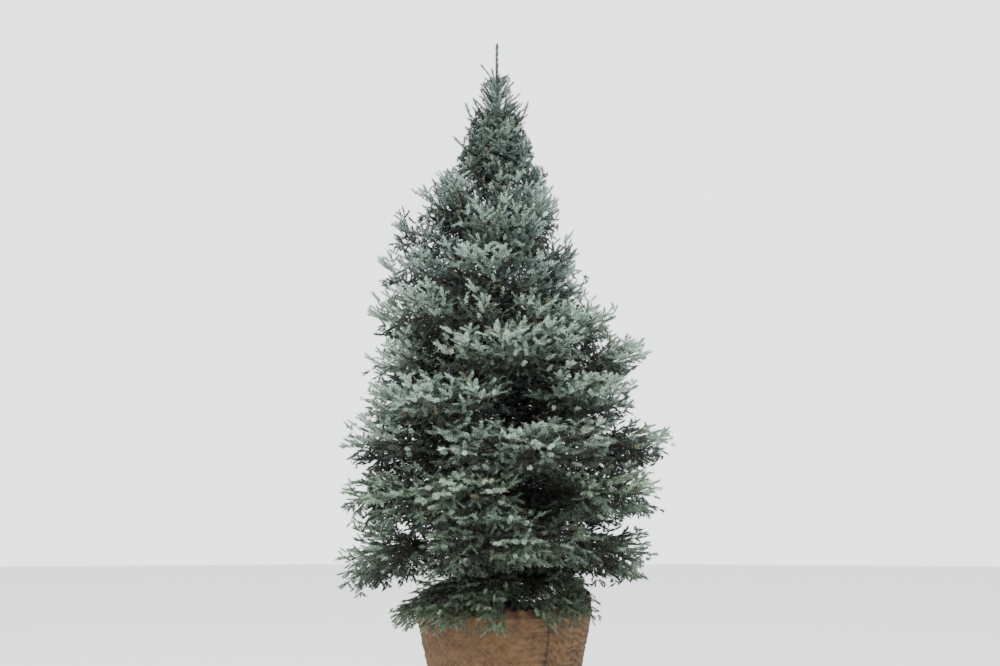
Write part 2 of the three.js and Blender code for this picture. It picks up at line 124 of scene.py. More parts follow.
# What else changes from tier to tier, from the lowest
byTier = {
    "index": list(range(11)),
    "overlap": [40, 90, 95, 95, 95, 90, 85, 90, 95, 80, 30],  # with the neighbours' spaces
    "shootLength": [84, 100, 102, 104, 106, 108, 114, 118, 118, 112, 96],
    "rise": [-0.35, -0.1, 0.02, 0.06, 0.12, 0.16, 0.2, 0.24, 0.28, 0.34, 0.6],  # of shoots
    "hang": [-0.5, -0.4, -0.35, -0.3, -0.25, -0.2, -0.18, -0.18, -0.16, -0.12, 0],  # of those below a plate
    "tint": ["rim"] + ["low"] * 2 + ["middle"] * 4 + ["high"] * 4,
    "paler": [-1.7, -0.7, -0.05, 0.2, 0.5, 0.7, 0.7, 0.5, 0.25, -0.45, -0.6],  # in tones: the two lowest tiers are darker, painted shade near the ball
    "leftPaler": [0.7, 0.8, 0.4, 0.2, 0.1, 0, 0, 0, 0, 0, 0],  # the light comes from the left low down
    "fade": [82, 98, 118, 134, 142, 140, 125, 115, 105, 100, 150],  # depth that is a tone darker, painted shade inside the crown
    "outline": [220] * 3 + [90] * 8,  # depth within which the painted shade isn't black against the sky
    "belowDark": [1.6] * 4 + [1.2] * 7,  # painted shade: tones that a plate is darker underneath
    "companions": [10, 6, 5, 5, 5, 5, 4, 3, 3, 4, 0],  # lesser stems round each main one
    "roomOutside": [42, 61, 66, 71, 72, 72, 72, 70, 66, 56, 40],  # a cube this wide holds one shoot
    "shell": [300, 320, 320, 320, 320, 310, 290, 270, 250, 240, 400],  # thickness of the outer growth
    "plate": [400, 215, 190, 115, 85, 80, 80, 100, 115, 140, 400],  # a bough's half thickness at its rim
    "under": [0.8, 0.7] + [0.8] * 9,  # times that below the bough
    "onShoot": [40, 37, 36, 36, 38, 40, 42, 44, 44, 44, 44],  # needles
    "onStem": [1, 1, 1, 1, 1, 1, 1.5, 3, 6, 10, 1],  # times the needles of other older wood
    "needleSize": [0.7, 0.92, 1, 1, 1, 1, 1, 1, 1.04, 1.1, 0.8],
    "sweep": [0.3, 0.3, 0.3, 0.3, 0.25, 0.2, 0.15, 0.05, 0, 0, 0],  # of the needles, upwards
}
for name, values in byTier.items():
    for tier, value in zip(tiers, values):
        tier[name] = value

limbs = {
    "boughFoot": 26,
    "boughTip": 15,
    "stemFoot": 12,
    "stemTip": 3,
    "stemLift": 95,
    "sprayLift": 0.5,
}

# Finer growth than the solids have: twigs on the stems, and yearly sets of shoots on the twigs
growth = {
    "twigSpacing": 96,
    "twigAngle": 52,
    "twigTaper": 0.6,  # a twig's length, of the stem that is left beyond it
    "year": 96,  # between the sets of shoots on a twig
    "shootAngle": 54,
    "bareShare": 0.2,  # of a stem, next to the trunk or the bough
    "past": 26,  # twigs may pass the solids' box by this much
    "lowest": 800,  # nothing drapes lower over the ball
    "bareRim": [(112, 46), (9, 9)],  # where nothing drapes over it: bearing and half the angle
    "bareFrom": 650,
    "roomInside": 84,  # a cube this wide holds one shoot of the inner growth
    "plateFoot": 300,  # half a bough's thickness near the trunk
    "plateFrom": 0.45,  # of its reach, where its growth starts to thin to its plate
    "plateSides": (2.1, 1.0),  # times the plate's half thickness on the left and on the right
    "plateWave": 120,  # how far a plate rises and falls
    "star": (0.1, 0.3),  # of the reach, what a bough lacks at its sector's edge: at the sides, front and back
}

# How wide the growth is near the top: height above the soil, radius. Single fingers may stand out of it
slimTop = [(3700, 560), (3850, 380), (4100, 310), (4350, 215), (4600, 130), (4750, 30)]

needle = {
    "length": 27,
    "width": 7.4,
    "onInner": 10,
    "perMetre": 50,  # on older wood
    "innerWidth": 10,
    "innerLength": 1.25,
    "lean": 58,  # from the shoot's line, in degrees
    "core": 8,
}


def lerp(a, b, share):
    return a + (b - a) * share


def clamp(value, low=0, high=1):
    return min(high, max(low, value))


def chance(*keys):  # a repeatable number from 0 to 1, the same as the solids use
    value = 2166136261
    for key in keys:
        value = ((value ^ (key & 0xFFFFFFFF)) * 16777619) & 0xFFFFFFFF
    value = ((value ^ (value >> 16)) * 0x7FEB352D) & 0xFFFFFFFF
    value = ((value ^ (value >> 15)) * 0x846CA68B) & 0xFFFFFFFF
    return (value ^ (value >> 16)) / 4294967296


def spread(low, high, *keys):
    return lerp(low, high, chance(*keys))


def noiseAt(x, y, z):
    return noise.noise(Vector((x, y, z)))


def bearingVector(bearing):
    angle = math.radians(bearing)
    return Vector((math.sin(angle), -math.cos(angle), 0))


def bearingOf(x, y):
    return math.degrees(math.atan2(x, -y))


def turnFrom(middle, bearing):  # from -180 to 180 degrees
    return (bearing - middle + 540) % 360 - 180


def rightShare(bearing):  # 0 on the left, 1 on the right
    return (1 + math.sin(math.radians(bearing))) / 2


def trunkAxis(height):
    share = height / trunk["height"]
    x = trunk["footX"] + trunk["lean"] * share + trunk["sway"] * math.sin(2 * math.pi * share)
    return Vector((x, trunk["sway"] * math.sin(math.pi * share), ball["soilHeight"] + height))


def trunkRadius(height):
    if height >= trunk["leader"]:
        share = (height - trunk["leader"]) / (trunk["height"] - trunk["leader"])
        return lerp(trunk["leaderFoot"], trunk["leaderTip"], share)
    flare = (trunk["flareRadius"] - trunk["breastRadius"]) * max(0, 1 - height / trunk["flareHeight"]) ** 2
    return flare + lerp(trunk["breastRadius"], trunk["leaderFoot"], height / trunk["leader"])


def firstWhorl(tier):
    return whorls[tier["whorls"][0]]


def sectorBearing(tier, sector):
    return firstWhorl(tier)["first"] + 360 * sector / tier["sectors"]


def reachOf(whorl, bearing):
    return lerp(whorl["left"], whorl["right"], rightShare(bearing))


def tierReach(tier, bearing):
    return max(reachOf(whorls[index], bearing) for index in tier["whorls"])


def whorlHeight(whorl, radius):
    metres = radius / 1000
    return whorl["leaves"] + 1000 * (whorl["rise"] * metres + whorl["bend"] * metres * metres)


def partingHeight(lower, radius):
    if lower < 0:
        return -1e9
    if lower + 1 >= len(whorls):
        return 1e9
    return (whorlHeight(whorls[lower], radius) + whorlHeight(whorls[lower + 1], radius)) / 2


def boughPoint(whorl, bearing, radius):
    sectors = len(whorl["lift"])
    sector = math.floor(((bearing - whorl["first"] + 720) % 360) / 360 * sectors + 0.5) % sectors
    lift = whorl["lift"][sector] * (radius / reachOf(whorl, bearing)) ** 1.5
    return trunkAxis(whorlHeight(whorl, radius) + lift) + bearingVector(bearing) * radius


def crownPlace(point):  # height above the soil, distance from the trunk's axis, bearing
    height = point.z - ball["soilHeight"]
    axis = trunkAxis(clamp(height, 0, trunk["height"]))
    x, y = point.x - axis.x, point.y - axis.y
    return height, math.hypot(x, y), bearingOf(x, y)


def collarHeight(bearing):
    low = lerp(ball["collarFront"], ball["collarBack"], (1 - math.cos(math.radians(bearing))) / 2)
    off = turnFrom(ball["cornerBearing"], bearing) / ball["cornerWidth"]
    return lerp(low, ball["collarCorner"], math.exp(-abs(off) ** 3))


def ballRadius(height):
    share = clamp(height / ball["soilHeight"])
    return lerp(ball["footRadius"], ball["rimRadius"], share ** ball["taper"])


def collarTop(point):
    return ball["soilHeight"] + collarHeight(bearingOf(point.x, point.y))


def clearOfBall(point):
    if point.z > collarTop(point) + ball["gap"]:
        return True
    return math.hypot(point.x, point.y) > ball["rimRadius"] + ball["lumpDepth"] + ball["gap"]


def spaceOf(tier, bearing):  # the test of one mass's own space
    lowest, highest = tier["whorls"][0], tier["whorls"][-1]
    halfSector = 180 / tier["sectors"]
    slant = tier["overlap"] * math.hypot(1, whorls[highest]["rise"])
    room = growth["past"] / 1000

    def test(point):
        height, radius, at = crownPlace(point)
        if abs(turnFrom(bearing, at)) > halfSector + math.degrees(math.atan2(tier["overlap"], radius)):
            return False
        if height < partingHeight(lowest - 1, radius) - slant or height > trunk["height"]:
            return False
        if height > partingHeight(highest, radius) + slant or point.z < growth["lowest"]:
            return False
        if radius > tierReach(tier, at) * 1.02:
            return False
        sides = zip(cadBox[0][:2], point / 1000, cadBox[1][:2])
        if not all(low - room < place < high + room for low, place, high in sides):
            return False
        bark = trunkRadius(clamp(height, 0, trunk["height"]))
        return radius > bark + trunk["gap"] and clearOfBall(point)

    return test


def topRadius(height):
    for low, high in zip(slimTop, slimTop[1:]):
        if height < high[0]:
            return lerp(low[1], high[1], max(0, (height - low[0]) / (high[0] - low[0])))
    return slimTop[-1][1]


def abovePlate(point, whorl, tier):  # millimetres above a bough's wavy plate
    height, radius, bearing = crownPlace(point)
    turn = math.radians(bearing)
    wave = noiseAt(2.4 * math.sin(turn), 2.4 * math.cos(turn), tier["index"] * 3.7 + radius / 900)
    return point.z - boughPoint(whorl, bearing, radius).z - growth["plateWave"] * wave * min(1, radius / 600)


def plateOf(tier, bearing, inSpace):  # the same space, thinned to the boughs' own plates towards their rims
    halfSector = 180 / tier["sectors"]
    foot = growth["plateFoot"]

    def test(point):
        if not inSpace(point):
            return False
        height, radius, at = crownPlace(point)
        if height > slimTop[0][0] and radius > topRadius(height):
            return False
        if tier is tiers[0] and radius > growth["bareFrom"]:
            if any(abs(turnFrom(middle, at)) < half for middle, half in growth["bareRim"]):
                return False
        if tier["plate"] > foot:
            return True
        rim = tier["plate"] * lerp(*growth["plateSides"], rightShare(at))
        aside = abs(turnFrom(bearing, at)) / halfSector
        star = lerp(*growth["star"], math.cos(math.radians(at)) ** 2)
        for index in tier["whorls"]:
            whorl = whorls[index]
            share = radius / reachOf(whorl, at)
            if share < 1.02 - star * aside**1.6:
                out = clamp((share - growth["plateFrom"]) / (1 - growth["plateFrom"]))
                above = abovePlate(point, whorl, tier) / math.hypot(1, whorl["rise"])
                if -lerp(foot, rim * tier["under"], out) < above < lerp(foot, rim, out):
                    return True
        return False

    return test


def pointOn(line, share):
    at = share * (len(line) - 1)
    i = min(len(line) - 2, int(at))
    return line[i].lerp(line[i + 1], at - i)


def lengthOf(line):
    return sum((b - a).length for a, b in zip(line, line[1:]))


def boughLine(tier, bearing, steps=2):
    whorl = firstWhorl(tier)
    start = trunkRadius(whorl["leaves"]) * 0.6
    end = tier["limbShare"] * reachOf(whorl, bearing)
    return [boughPoint(whorl, bearing, lerp(start, end, i / steps)) for i in range(steps + 1)]


def stemLine(start, tip, steps, spray, surface):
    last = max(0.25, 1 - (0.86 * spray) / (tip - start).length)
    line = [start]
    for i in range(1, steps + 1):
        point = start.lerp(tip, last * i / steps)
        height, radius, bearing = crownPlace(point)
        if surface:
            point.z = boughPoint(surface, bearing, radius).z
        if not clearOfBall(point):
            point.z = collarTop(point) + ball["gap"] + limbs["stemFoot"]
        line.append(point)
    return line


def stemsOf(tier, turn, seed, inSpace):  # the same stems as the solids have, in the same order
    stems = []
    low = firstWhorl(tier)
    steps = 4 if tier is tiers[0] else 2
    arms = tier["arms"]
    order = [arms // 2] + [arm for arm in range(arms) if arm != arms // 2]
    start = boughPoint(low, turn, trunkRadius(low["leaves"]) * 0.75)
    if tier["limbShare"] > 0:
        line = boughLine(tier, turn)
        start = line[2] + (line[2] - line[1]).normalized() * trunk["seat"]
    for level, index in enumerate(tier["whorls"]):
        whorl = whorls[index]
        leader = None
        for rank, arm in enumerate(order):
            key = seed + 10 * level + arm
            off = -tier["fan"] + 2 * tier["fan"] * arm / (arms - 1)
            bearing = turn + off + spread(-4, 4, key, 20)
            tip = boughPoint(whorl, bearing, reachOf(whorl, bearing) * spread(0.93, 1, key, 21))
            if rank > 0:
                lifted = tip.copy()
                lifted.z += limbs["stemLift"] * spread(0.4, 1, key, 22) * (1 if rank % 2 == 0 else -1)
                if inSpace(lifted):
                    tip = lifted
            line = stemLine(start, tip, steps, tier["spray"], whorl if level == 0 else None)
            leader = leader or line
            fork = 0.1 * tier["spray"] * (rank + 1) / lengthOf(leader) if level == 0 else 0.3 + 0.12 * rank
            stems.append({"line": line, "tip": tip, "main": leader is line and level == 0, "seed": key})
            start = pointOn(leader, fork)
        start = pointOn(stems[0]["line"], 0.16)
    return stems


# Tones of the needles: a spray takes one by where it is in the crown. Low down they are greener. Deep in the
# crown and below a plate they are darker, painted shade, and on a plate's back paler, painted light
tones = {
    "shade": (0.018, 0.025, 0.02),
    "deep": (0.05, 0.071, 0.057),
    "green": (0.096, 0.138, 0.114),
    "blue": (0.185, 0.255, 0.219),
    "silver": (0.335, 0.44, 0.38),
    "olive": (0.13, 0.13, 0.075),
}
# The rim and low tints are greener, and the rim one is also darker: painted shade near the ball
tints = {"rim": (0.74, 0.77, 0.57), "low": (0.93, 0.96, 0.8), "middle": (1, 1, 0.93), "high": (1, 1, 1)}
toneOf = {name: number for number, name in enumerate(tones)}


class Grown:  # what one tier has grown
    def __init__(self, tier):
        self.tier = tier
        self.inSpace = None  # the test of the present sector's space
        self.wood = []  # start, end, start radius, end radius, sides
        self.brush = []  # needled runs: start, end, tone, needles, their width, core radius
        self.taken = set()

    def hasRoom(self, point, size):
        cell = (size, *(math.floor(place / size) for place in point))
        if cell in self.taken:
            return False
        self.taken.add(cell)
        return True


def depthOf(point, tier):  # millimetres below the crown's outer surface
    height, radius, bearing = crownPlace(point)
    return tierReach(tier, bearing) - radius


def toneAt(point, tier, seed, paler):
    if chance(seed, 91) < 0.03:
        return toneOf["olive"]
    depth = depthOf(point, tier)
    # painted shade: a spray is a tone darker for each fade of depth below the crown's surface
    level = 3.4 - depth / tier["fade"] + spread(-0.75, 0.75, seed, 92) + paler
    level -= tier["leftPaler"] * point.x / max(600, math.hypot(point.x, point.y))
    if tier["plate"] < growth["plateFoot"]:  # painted light on a bough's back, painted shade below it
        above = min((abovePlate(point, whorls[index], tier) for index in tier["whorls"]), key=abs)
        level += clamp(above / 90, -tier["belowDark"], 0.35)
    outline = tier["outline"]
    darkest = 2 if depth < outline else 1 if depth < 1.6 * outline else 0
    return min(4, max(darkest, round(level)))


def fitEnd(start, along, length, inSpace):  # the end of a twig that keeps to the space, or None
    for share in (1, 0.8, 0.62, 0.46):
        end = start + along * (length * share)
        if inSpace(end) and inSpace(start.lerp(end, 0.5)):
            return end
    return None


def sideWay(along, hand, angle, lift):
    across = Vector((0, 0, 1)).cross(along)
    across = across.normalized() if across.length > 0.05 else Vector((1, 0, 0))
    way = along * math.cos(math.radians(angle)) + across * (hand * math.sin(math.radians(angle)))
    way.z += lift
    return way.normalized()


def growShoot(grown, start, along, length, seed, paler):
    end = fitEnd(start, along, length, grown.inSpace)
    if end is None:
        return
    tier = grown.tier
    inner = depthOf(end, tier) > tier["shell"]
    if grown.hasRoom(start.lerp(end, 0.6), growth["roomInside"] if inner else tier["roomOutside"]):
        share = min(1.2, (end - start).length / tier["shootLength"])
        count = max(6, round(share * (needle["onInner"] if inner else tier["onShoot"])))
        width = needle["innerWidth" if inner else "width"]
        core = needle["core"] * (1.3 if inner else 1)
        grown.brush.append((start, end, toneAt(end, tier, seed, paler), count, width, core))


def coverWood(grown, start, end, tone, share=1):  # sparse needles on older wood
    count = round((end - start).length / 1000 * needle["perMetre"] * share)
    if count > 2:
        grown.brush.append((start, end, tone, count, needle["width"], 0))


def growTwig(grown, start, along, length, stem, seed, depth=1):
    end = fitEnd(start, along, length, grown.inSpace)
    if end is None:
        return
    tier, rise, paler = grown.tier, stem["rise"], stem["paler"]
    length = (end - start).length
    along = (end - start).normalized()
    grown.wood.append((start, end, lerp(3.2, 5.5, min(1, length / 400)), 2.8, 3))
    coverWood(grown, start, end, toneAt(end, tier, seed, paler - 0.9))
    back, year = 0, 0
    while back < length * 0.92:
        point = end - along * back
        for hand in (-1, 1):
            key = seed * 16 + year * 2 + (hand > 0)
            angle = growth["shootAngle"] + spread(-9, 9, key, 2) + 3 * year
            way = sideWay(along, hand, angle, rise + spread(-0.18, 0.26, key, 3))
            size = tier["shootLength"] * (0.9 + 0.1 * year) * spread(0.78, 1.12, key, 4)
            if year > 1 and depth > 0:
                growTwig(grown, point, way, size * 1.25, stem, key, depth - 1)
            else:
                growShoot(grown, point, way, size, key, paler + 0.35 - 0.15 * year)
        if chance(seed, year, 7) < 0.45:  # one stands up on the twig's back, or hangs below a plate
            way = (along * 0.8 + Vector((0, 0, 0.75 if rise > -0.25 else -0.6))).normalized()
            growShoot(grown, point, way, tier["shootLength"] * 0.8, seed + 31 * year, paler + 0.6)
        back += growth["year"] * stem["thin"] * spread(0.85, 1.1, seed, year, 8)
        year += 1
    tipWay = (along + Vector((0, 0, 0.1 + rise * 0.5))).normalized()
    growShoot(grown, end, tipWay, tier["shootLength"] * spread(0.85, 1.15, seed, 6), seed + 5, paler + 0.7)


def growStem(grown, stem, foot):
    tier, seed = grown.tier, stem["seed"]
    line = stem["line"] + [stem["tip"]]
    total = lengthOf(line)
    stretches = [(b - a).length for a, b in zip(line, line[1:])]

    def onStem(share):  # the point and the direction at a share of the stem's length
        walked, at = share * total, 0
        while at < len(stretches) - 1 and walked > stretches[at]:
            walked -= stretches[at]
            at += 1
        along = (line[at + 1] - line[at]).normalized()
        return line[at].lerp(line[at + 1], min(1, walked / stretches[at])), along

    runs = [onStem(i / 5)[0] for i in range(6)]
    for i in range(5):
        radii = [lerp(foot, limbs["stemTip"], (j / 5) ** 0.8) for j in (i, i + 1)]
        grown.wood.append((runs[i], runs[i + 1], *radii, 5))
        if i / 5 >= growth["bareShare"]:
            tone = toneAt(runs[i], tier, seed + i, stem["paler"] - 0.9)
            coverWood(grown, runs[i], runs[i + 1], tone, tier["onStem"])
    count = max(2, round(total / (growth["twigSpacing"] * stem["thin"])))
    # painted shade: the twigs that hang below a plate are 0.7 of a tone darker
    hanging = {"rise": -0.3, "paler": tier["paler"] - 0.7, "thin": 1.1}
    for i in range(count):
        share = 0.07 + 0.9 * (i + spread(0.2, 0.8, seed, i, 1)) / count
        point, along = onStem(share)
        hand = 1 if (i + seed) % 2 == 0 else -1
        angle = growth["twigAngle"] + spread(-8, 8, seed, i, 2) - 14 * share
        lift = spread(-limbs["sprayLift"], limbs["sprayLift"], seed, i, 3) * 0.8 + stem["rise"] * 0.5
        length = min(tier["spray"], 60 + growth["twigTaper"] * (1 - share) * total)
        length *= spread(0.8, 1, seed, i, 4)
        growTwig(grown, point, sideWay(along, hand, angle, lift), length, stem, seed * 64 + i)
        if tier["hang"] < -0.1 and share < 0.85:  # and one hangs in the gap below
            way = sideWay(along, -hand, spread(30, 80, seed, i, 5), 0)
            way = (way + Vector((0, 0, -spread(0.7, 1.3, seed, i, 6)))).normalized()
            growTwig(grown, point, way, spread(150, 260, seed, i, 7), hanging, seed * 64 + 32 + i, 0)
    ahead = (line[-1] - line[-2]).normalized()
    shortOf = line[-1] - ahead * min(100, total * 0.3)
    grown.brush.append((shortOf, line[-1], toneOf["silver"], 48, needle["width"], needle["core"]))
    for hand in (-1, 1):
        for step in (0, 1):
            way = sideWay(ahead, hand, 44 + 6 * step, stem["rise"] * 0.6)
            root = shortOf - ahead * (growth["year"] * step)
            size = tier["shootLength"] * (0.95 + 0.1 * step)
            growShoot(grown, root, way, size, seed * 4 + hand + step, stem["paler"] + 0.8)


def growInside(grown, turn, seed, stem):  # shaded twigs under the pale outer ones
    tier = grown.tier
    if tier["limbShare"] > 0:
        line = boughLine(tier, turn, 12)
    else:  # no bare limb here, so they stand on the main stem
        line = [pointOn(stem["line"], 0.06 + 0.052 * i) for i in range(13)]
    size = min(1, reachOf(firstWhorl(tier), turn) / 1200)
    inner = {"rise": -0.15, "paler": -1.2, "thin": 1.15}
    levels = (-0.3, 0.4, 1.1) if tier is tiers[0] else (-0.75, -0.2, 0.45)
    for i in range(2, 13):
        along = (line[i] - line[i - 1]).normalized()
        for hand in (-1, 1):
            for level in levels:
                key = seed * 64 + i * 6 + int(level * 3) + 3 * (hand > 0)
                way = sideWay(along, hand, spread(25, 85, key, 1), level + spread(-0.25, 0.25, key, 2))
                growTwig(grown, line[i], way, spread(240, 560, key, 3) * size, inner, key)


def companionOf(grown, stem, companion):  # a lesser stem that forks off and runs above or below
    tier = grown.tier
    seed = stem["seed"] * 8 + companion + 5000
    below = companion % 2 == 1
    start = pointOn(stem["line"], spread(0.05, 0.3, seed, 1))
    way = stem["tip"] - start
    turned = Matrix.Rotation(math.radians(spread(-17, 17, seed, 2)), 3, "Z") @ way
    high = spread(60, 180, seed, 4) * (-1 if below else 1) * min(1, way.length / 450)
    for share in (spread(0.72, 0.97, seed, 3), 0.75, 0.6, 0.45):
        for lift in (high, high * 0.6):
            tip = start + turned * share
            tip.z += lift
            if (tip - start).length > 130 and grown.inSpace(tip):
                middle = start.lerp(tip, 0.55)
                middle.z += lift * 0.12
                lesser = {"line": [start, middle], "tip": tip, "seed": seed, "thin": 1.3}
                lesser["rise"] = stem["rise"] + (tier["hang"] if below else 0.08)
                # painted shade: a lesser stem that runs below is darker than one above
                lesser["paler"] = tier["paler"] - (0.5 if below else 0.1)
                return lesser
    return None


def growFinger(grown, stem):  # a slim finger under the leader, needled to its tip
    line = stem["line"] + [stem["tip"]]
    for i in range(5):
        ends = [pointOn(line, j / 5) for j in (i, i + 1)]
        grown.wood.append((*ends, 4 - 0.4 * i, 3.6 - 0.4 * i, 5))
        count = max(20, round((ends[1] - ends[0]).length * 1.2))
        grown.brush.append((*ends, toneOf["deep" if i < 2 else "green"], count, 8, 0))


# Short fingers that crowd round the leader's foot, from the lowest to the highest
collar = {"count": 84, "heights": (4060, 4650), "lengths": (400, 165), "rise": (0.6, 1.5)}


def growCollar(grown):
    for i in range(collar["count"]):
        share = i / (collar["count"] - 1)
        start = trunkAxis(lerp(*collar["heights"], share))
        rise = spread(*collar["rise"], i, 41)
        way = (bearingVector(i * 137.5) + Vector((0, 0, rise))).normalized()
        end = start + way * lerp(*collar["lengths"], share) * spread(0.75, 1.1, i, 42)
        grown.wood.append((start, end, 3, 2, 3))
        tone = toneOf[("deep", "green", "green", "blue")[int(4 * chance(i, 43))]]
        count = round((end - start).length * 0.55)
        grown.brush.append((start, end, tone, count, needle["width"], 6))


# The leader's own needles, in runs from below it to its tip
topRuns = {"count": 18, "below": 700, "deep": 15, "needles": 130, "width": 9}


def growLeader(grown):
    foot, tip = trunk["leader"] - topRuns["below"], trunk["height"] - 6
    for i in range(topRuns["count"]):
        ends = [trunkAxis(lerp(foot, tip, j / topRuns["count"])) for j in (i, i + 1)]
        tone = toneOf["deep" if i < topRuns["deep"] else "green"]
        grown.brush.append((*ends, tone, topRuns["needles"], topRuns["width"], 0))


def trimStem(stem, inPlate):  # side stems end where their bough's plate does
    tip = stem["tip"]
    for share in (1, 0.85, 0.7, 0.55, 0.4, 0.25):
        stem["tip"] = stem["line"][-1].lerp(tip, share)
        if inPlate(stem["tip"]):
            return


# Close twigs that hang over the ball's rim, in each sector of the lowest tier
drape = {"twigs": 44, "start": (610, 700), "above": (16, 90), "length": (150, 260), "thin": 0.72}


def growDrape(grown, turn, seed):
    hanging = {"rise": -0.35, "paler": grown.tier["paler"] + 0.2, "thin": drape["thin"]}
    for i in range(drape["twigs"]):
        bearing = turn + 120 * ((i * 0.618) % 1 - 0.5)
        outward = bearingVector(bearing)
        start = outward * spread(*drape["start"], seed, i, 51)
        start.z = collarTop(start) + ball["gap"] + spread(*drape["above"], seed, i, 52)
        way = outward * 0.85 + bearingVector(bearing + 90) * spread(-0.5, 0.5, seed, i, 53)
        way.z -= spread(0.1, 0.75, seed, i, 54)
        length = spread(*drape["length"], seed, i, 55)
        growTwig(grown, start, way.normalized(), length, hanging, seed * 64 + i, 0)


def growTier(tier):
    grown = Grown(tier)
    bark = trunkRadius(firstWhorl(tier)["leaves"])
    for sector in range(tier["sectors"]):
        turn = sectorBearing(tier, sector)
        seed = 1000 * tier["index"] + 100 * sector
        inSpace = spaceOf(tier, turn)
        grown.inSpace = plateOf(tier, turn, inSpace)
        stems = stemsOf(tier, turn, seed, inSpace)
        if tier is tiers[-1]:
            for stem in stems:
                growFinger(grown, stem)
            continue
        for stem in stems:
            if not stem["main"] and tier is not tiers[-2]:
                trimStem(stem, grown.inSpace)
            stem.update(rise=tier["rise"], paler=tier["paler"] + 0.3, thin=1.0)
            foot = min(bark * 0.6, limbs["stemFoot"] * (1 if stem["main"] else 0.7))
            growStem(grown, stem, foot)
            for companion in range(tier["companions"]):
                lesser = companionOf(grown, stem, companion)
                if lesser:
                    growStem(grown, lesser, foot * 0.55)
        growInside(grown, turn, seed, stems[0])
        if tier is tiers[0]:
            growDrape(grown, turn, seed)
    if tier is tiers[-2]:
        growCollar(grown)
    if tier is tiers[-1]:
        growLeader(grown)
    return grown


def putTogether(name, points, corners, faceMaterial=None):  # a mesh from arrays, in metres
    mesh = bpy.data.meshes.new(name)
    mesh.vertices.add(len(points))
    mesh.vertices.foreach_set("co", np.ascontiguousarray(points, dtype=np.float32).ravel())
    mesh.loops.add(corners.size)
    mesh.loops.foreach_set("vertex_index", corners.astype(np.int32).ravel())
    mesh.polygons.add(len(corners))
    mesh.polygons.foreach_set("loop_start", np.arange(0, corners.size, corners.shape[1], dtype=np.int32))
    if faceMaterial is not None:
        mesh.polygons.foreach_set("material_index", faceMaterial.astype(np.int32))
    mesh.update(calc_edges=True)
    mesh.validate()
    piece = bpy.data.objects.new(name, mesh)
    bpy.context.scene.collection.objects.link(piece)
    return piece


def unit(rows):
    return rows / np.maximum(np.linalg.norm(rows, axis=1, keepdims=True), 1e-9)


def crossAxes(along):  # two directions square to each row, the second one upward
    up = np.tile([0.0, 0.0, 1.0], (len(along), 1))
    up[np.abs(along[:, 2]) > 0.97] = (1.0, 0.0, 0.0)
    side = unit(np.cross(along, up))
    return side, np.cross(side, along)


def columnsOf(rows):
    return [np.array(column) for column in zip(*rows)]


def makeNeedles(tier, brush):  # slender pointed needles round each run, and a slim core in each shoot, a tone darker as painted shade
    scale = tier["needleSize"]
    start, end, tone, count, wide, core = columnsOf(brush)
    start, end = start / 1000, end / 1000
    wide, core = wide * scale / 1000, core * scale / 1000
    owner = np.repeat(np.arange(len(brush)), count)
    step = np.arange(count.sum()) - np.repeat(np.cumsum(count) - count, count)
    total = len(step)
    draw = np.random.default_rng(100 + tier["index"])
    share = (step + draw.uniform(0.1, 0.9, total)) / count[owner]
    line = end - start
    along = unit(line)[owner]
    side, top = crossAxes(along)
    turn = step * 2.39996 + draw.uniform(-0.4, 0.4, total) + owner
    outward = side * np.cos(turn)[:, None] + top * np.sin(turn)[:, None]
    outward[:, 2] += tier["sweep"]
    outward = unit(outward - along * np.sum(outward * along, axis=1)[:, None])
    lean = needle["lean"] - draw.uniform(0, 45, total) * share**5 + draw.uniform(-9, 9, total)
    lean = np.radians(lean)
    way = along * np.cos(lean)[:, None] + outward * np.sin(lean)[:, None]
    size = needle["length"] * scale / 1000 * draw.uniform(0.82, 1.1, total) * (1 - 0.25 * share**5)
    size *= np.where(wide[owner] > needle["width"] * scale / 900, needle["innerLength"], 1)
    width = wide[owner] * draw.uniform(0.85, 1.15, total) / 2
    flat = unit(np.cross(way, outward))
    face = unit(np.cross(flat, way))
    roll = draw.uniform(-0.7, 0.7, total)[:, None]
    flat = flat * np.cos(roll) + face * np.sin(roll)
    root = start[owner] + line[owner] * (share * 0.97)[:, None]
    tip = root + way * size[:, None]
    points = np.stack([root - flat * width[:, None], root + flat * width[:, None], tip], axis=1)
    corners = np.arange(total * 3).reshape(-1, 3)
    normal = np.cross(points[:, 1] - points[:, 0], points[:, 2] - points[:, 0])
    inward = np.sum(normal * outward, axis=1) < 0
    corners[inward] = corners[inward][:, ::-1]
    cored = core > 0
    base, reach, thick = start[cored], line[cored], core[cored]
    side, top = crossAxes(unit(reach))
    belly = []
    for angle in (0, 2 * math.pi / 3, 4 * math.pi / 3):
        belly.append(base + reach * 0.78 + (side * math.cos(angle) + top * math.sin(angle)) * thick[:, None])
    cores = np.stack([base, *belly, base + reach * 1.02], axis=1).reshape(-1, 3)
    own = np.array([[0, 2, 1], [0, 3, 2], [0, 1, 3], [4, 1, 2], [4, 2, 3], [4, 3, 1]])
    coreCorners = (total * 3 + np.arange(len(base))[:, None, None] * 5 + own[None]).reshape(-1, 3)
    # painted shade: each core takes the tone below its needles'
    coreShadeTone = np.where(tone[cored] == toneOf["olive"], 1, np.maximum(0, tone[cored] - 1))
    faceTone = np.concatenate([tone[owner], np.repeat(coreShadeTone, 6)])
    allPoints = np.concatenate([points.reshape(-1, 3), cores])
    name = f"needles_{tier['index'] + 1}"
    return putTogether(name, allPoints, np.concatenate([corners, coreCorners]), faceTone)


